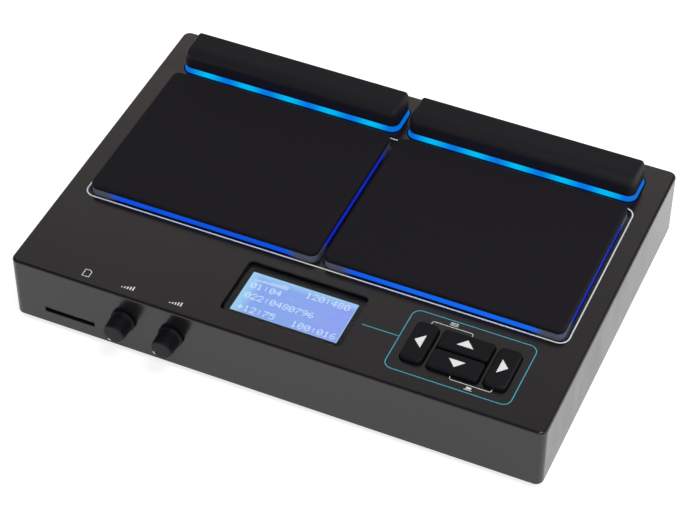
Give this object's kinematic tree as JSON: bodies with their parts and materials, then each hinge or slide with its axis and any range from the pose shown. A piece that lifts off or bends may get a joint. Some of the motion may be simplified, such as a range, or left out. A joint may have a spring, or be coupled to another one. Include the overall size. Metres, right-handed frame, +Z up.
{
  "type": "sampling drum pad",
  "caption": "Tabletop electronic drum pad: two large and two raised bar strike pads with lit edges, a small display, four keys and two volume knobs.",
  "frame": {"origin": "on the table under the middle of the whole object, so the feet stand at z = 0", "axes": "+X to the player's right along the long side, +Y to the back (away from the player), +Z up"},
  "size_m": [0.31, 0.2312, 0.0583],
  "materials": {
    "cover_plastic": "finely textured black ABS",
    "base_plate": "black powder coat on sheet steel",
    "foot_rubber": "matt black rubber",
    "standoff_brass": "drawn brass",
    "tray_plastic": "unpolished moulding",
    "light_plastic": "milky clear plastic lit blue from inside",
    "strike_rubber": "matt grey-black rubber",
    "pad_plate": "bare sheet steel",
    "sensor_disc": "brass piezo disc",
    "foam": "soft closed-cell foam",
    "core_plastic": "hard moulded core",
    "circuit_board": "green solder mask",
    "chips": "black epoxy",
    "light_chips": "white package",
    "window": "clear window with a black border",
    "display_glass": "backlit glass, pale violet blue",
    "bezel_metal": "blackened sheet steel",
    "key_rubber": "smooth black rubber",
    "switch_metal": "pressed steel",
    "knob_plastic": "satin black plastic",
    "shaft_metal": "turned",
    "jack_plastic": "black nylon",
    "button_plastic": "smooth black plastic",
    "socket_metal": "tinned steel"
  },
  "bodies": {
    "base": {"top_cover": "cover_plastic", "bottom_cover": "base_plate", "rubber_feet": "foot_rubber", "pad_tray": "tray_plastic", "bar_tray": "tray_plastic", "light_boards": "circuit_board", "light_chips": "light_chips", "display_window": "window", "display_glass": "display_glass", "display_bezel": "bezel_metal", "display_board": "circuit_board", "key_switches": "switch_metal", "key_board": "circuit_board", "potentiometers": "switch_metal", "pot_board": "circuit_board", "card_socket": "socket_metal", "card_board": "circuit_board", "main_board": "circuit_board", "board_standoffs": "standoff_brass", "main_board_parts": "chips", "jack_sockets": "jack_plastic", "power_socket": "jack_plastic", "power_switch": "jack_plastic", "usb_socket": "socket_metal", "midi_socket": "jack_plastic", "jack_board": "circuit_board", "main_pad_foam_left": "foam", "bar_foam_left": "foam", "main_pad_foam_right": "foam", "bar_foam_right": "foam"},
    "main_pad_left": {"main_light_frame_left": "light_plastic", "main_pad_rubber_left": "strike_rubber", "main_pad_plate_left": "pad_plate", "main_pad_sensor_left": "sensor_disc"},
    "bar_pad_left": {"bar_light_frame_left": "light_plastic", "bar_pad_rubber_left": "strike_rubber", "bar_core_left": "core_plastic", "bar_sensor_left": "sensor_disc"},
    "main_pad_right": {"main_light_frame_right": "light_plastic", "main_pad_rubber_right": "strike_rubber", "main_pad_plate_right": "pad_plate", "main_pad_sensor_right": "sensor_disc"},
    "bar_pad_right": {"bar_light_frame_right": "light_plastic", "bar_pad_rubber_right": "strike_rubber", "bar_core_right": "core_plastic", "bar_sensor_right": "sensor_disc"},
    "key_left": {"key_left": "key_rubber"},
    "key_right": {"key_right": "key_rubber"},
    "key_up": {"key_up": "key_rubber"},
    "key_down": {"key_down": "key_rubber"},
    "knob_main": {"knob_main": "knob_plastic", "pot_shaft_main": "shaft_metal"},
    "knob_phones": {"knob_phones": "knob_plastic", "pot_shaft_phones": "shaft_metal"},
    "power_button": {"power_button": "button_plastic"}
  },
  "joints": [
    {"name": "main_pad_left_press", "type": "slide", "parent": "base", "child": "main_pad_left", "axis": [0, 0, -1], "range_m": [0, 0.0005], "stiffness_N_per_m": 20000, "springref_m": -0.0003, "deforming": ["main_pad_foam_left"]},
    {"name": "bar_pad_left_press", "type": "slide", "parent": "base", "child": "bar_pad_left", "axis": [0, 0, -1], "range_m": [0, 0.0005], "stiffness_N_per_m": 8000, "springref_m": -0.0003, "deforming": ["bar_foam_left"]},
    {"name": "main_pad_right_press", "type": "slide", "parent": "base", "child": "main_pad_right", "axis": [0, 0, -1], "range_m": [0, 0.0005], "stiffness_N_per_m": 20000, "springref_m": -0.0003, "deforming": ["main_pad_foam_right"]},
    {"name": "bar_pad_right_press", "type": "slide", "parent": "base", "child": "bar_pad_right", "axis": [0, 0, -1], "range_m": [0, 0.0005], "stiffness_N_per_m": 8000, "springref_m": -0.0003, "deforming": ["bar_foam_right"]},
    {"name": "key_left_press", "type": "slide", "parent": "base", "child": "key_left", "axis": [0, 0, -1], "range_m": [0, 0.0005], "stiffness_N_per_m": 2000, "springref_m": -0.0003},
    {"name": "key_right_press", "type": "slide", "parent": "base", "child": "key_right", "axis": [0, 0, -1], "range_m": [0, 0.0005], "stiffness_N_per_m": 2000, "springref_m": -0.0003},
    {"name": "key_up_press", "type": "slide", "parent": "base", "child": "key_up", "axis": [0, 0, -1], "range_m": [0, 0.0005], "stiffness_N_per_m": 2000, "springref_m": -0.0003},
    {"name": "key_down_press", "type": "slide", "parent": "base", "child": "key_down", "axis": [0, 0, -1], "range_m": [0, 0.0005], "stiffness_N_per_m": 2000, "springref_m": -0.0003},
    {"name": "knob_main_turn", "type": "hinge", "parent": "base", "child": "knob_main", "pos_m": [-0.0862, -0.10305, 0.0256], "axis": [0, 1, 0], "range_deg": [0, 280]},
    {"name": "knob_phones_turn", "type": "hinge", "parent": "base", "child": "knob_phones", "pos_m": [-0.0575, -0.10305, 0.0256], "axis": [0, 1, 0], "range_deg": [0, 280]},
    {"name": "power_button_press", "type": "slide", "parent": "base", "child": "power_button", "axis": [0, -1, 0], "range_m": [0, 0.002], "stiffness_N_per_m": 800, "springref_m": -0.0008}
  ]
}
